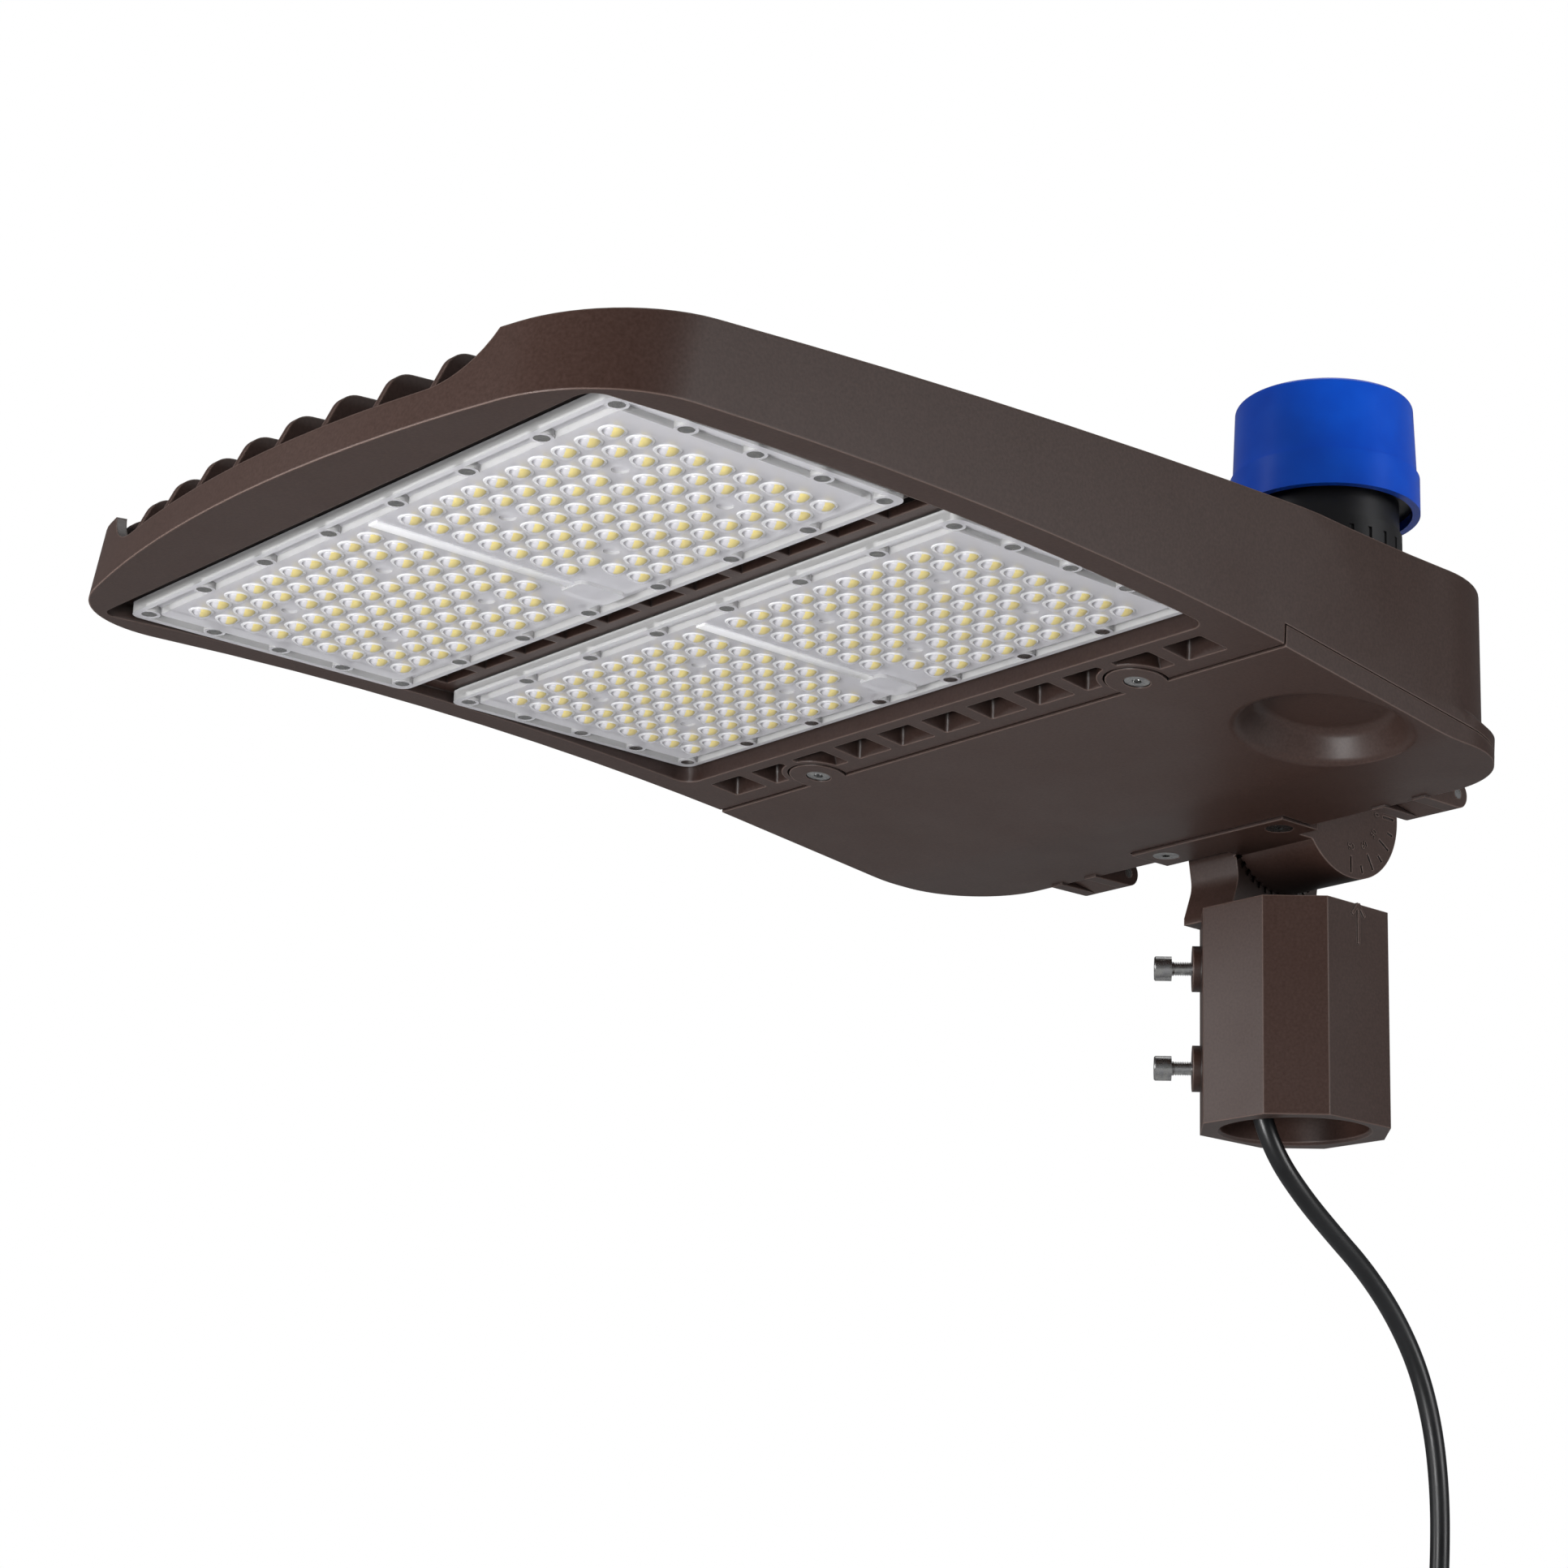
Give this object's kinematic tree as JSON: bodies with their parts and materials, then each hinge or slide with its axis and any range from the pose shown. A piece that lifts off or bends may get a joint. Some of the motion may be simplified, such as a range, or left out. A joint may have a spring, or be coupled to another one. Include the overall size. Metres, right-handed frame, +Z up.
{
  "type": "shoebox area light",
  "caption": "Flat die-cast LED area light with clear lens plates, finned heat sink, hinged driver door, turn-to-lock photocontrol and tilting slip fitter for a pole tenon.",
  "frame": {"origin": "centre of the slip fitter's bore at its lower mouth", "axes": "+Z up along the bore, -Y towards the front of the head, +X towards the side with the degree dial"},
  "size_m": [0.3198, 0.6054, 0.5266],
  "materials": {
    "bronze_paint": "dark bronze fine-texture satin powder coat on die-cast aluminium",
    "stainless": "stainless steel, machined",
    "black_rubber": "black, satin",
    "silicone": "grey silicone",
    "wire_insulation": "PVC core insulation with bare copper ends",
    "clear_polycarbonate": "clear moulded lens sheet",
    "white_board": "white solder mask",
    "led_phosphor": "yellow phosphor",
    "white_plastic": "white nylon",
    "driver_case": "satin aluminium case, potted",
    "black_plastic": "black moulded",
    "blue_plastic": "royal blue, glossy",
    "brass": "bare brass",
    "circuit_board": "green laminate"
  },
  "bodies": {
    "fitter": {"slip_fitter": "bronze_paint", "pivot_bolt": "stainless", "pivot_washer": "stainless", "cord_grommet": "black_rubber", "supply_lead": "black_rubber", "lead_conductors": "wire_insulation"},
    "head": {"tilt_bracket": "bronze_paint", "bracket_gasket": "black_rubber", "bracket_screws": "stainless", "housing": "bronze_paint", "lens_plate_front": "clear_polycarbonate", "lens_plate_rear": "clear_polycarbonate", "lens_gasket_front": "silicone", "lens_gasket_rear": "silicone", "led_board_front_left": "white_board", "led_board_front_right": "white_board", "led_board_rear_left": "white_board", "led_board_rear_right": "white_board", "lens_screws": "stainless", "board_screws": "stainless", "led_packages": "led_phosphor", "board_plugs": "white_plastic", "door_seal": "silicone", "hinge_pins": "stainless", "surge_protector": "black_plastic", "terminal_block": "white_plastic", "supply_wires": "wire_insulation", "photocontrol_socket": "black_plastic", "socket_gasket": "black_rubber", "socket_locknut": "black_plastic", "pivot_nut": "stainless"},
    "door": {"driver_door": "bronze_paint", "led_driver": "driver_case", "driver_screws": "stainless"},
    "door_screw_left": {"door_screw_left": "stainless"},
    "door_screw_right": {"door_screw_right": "stainless"},
    "set_screw_upper": {"set_screw_upper": "stainless"},
    "set_screw_lower": {"set_screw_lower": "stainless"},
    "photocontrol": {"photocontrol_base": "black_plastic", "photocontrol_seal": "black_rubber", "photocontrol_blades": "brass", "photocontrol_board": "circuit_board", "photocontrol_cap": "blue_plastic"}
  },
  "joints": [
    {"name": "head_tilt", "type": "hinge", "parent": "fitter", "child": "head", "pos_m": [0, 0, 0.135], "axis": [-1, 0, 0], "range_deg": [0, 90]},
    {"name": "door_swing", "type": "hinge", "parent": "head", "child": "door", "pos_m": [0, -0.02, 0.122], "axis": [1, 0, 0], "range_deg": [0, 45]},
    {"name": "door_screw_left_travel", "type": "slide", "parent": "door", "child": "door_screw_left", "axis": [0, -0.1291, -0.9916], "range_m": [0, 0.006]},
    {"name": "door_screw_right_travel", "type": "slide", "parent": "door", "child": "door_screw_right", "axis": [0, -0.1291, -0.9916], "range_m": [0, 0.006]},
    {"name": "set_screw_upper_travel", "type": "slide", "parent": "fitter", "child": "set_screw_upper", "axis": [0.7071, 0.7071, 0], "range_m": [0, 0.008]},
    {"name": "set_screw_lower_travel", "type": "slide", "parent": "fitter", "child": "set_screw_lower", "axis": [0.7071, 0.7071, 0], "range_m": [0, 0.008]},
    {"name": "photocontrol_twist", "type": "hinge", "parent": "head", "child": "photocontrol", "pos_m": [0.1, -0.0957, 0.2101], "axis": [0, 0, 1], "range_deg": [0, 20]}
  ]
}
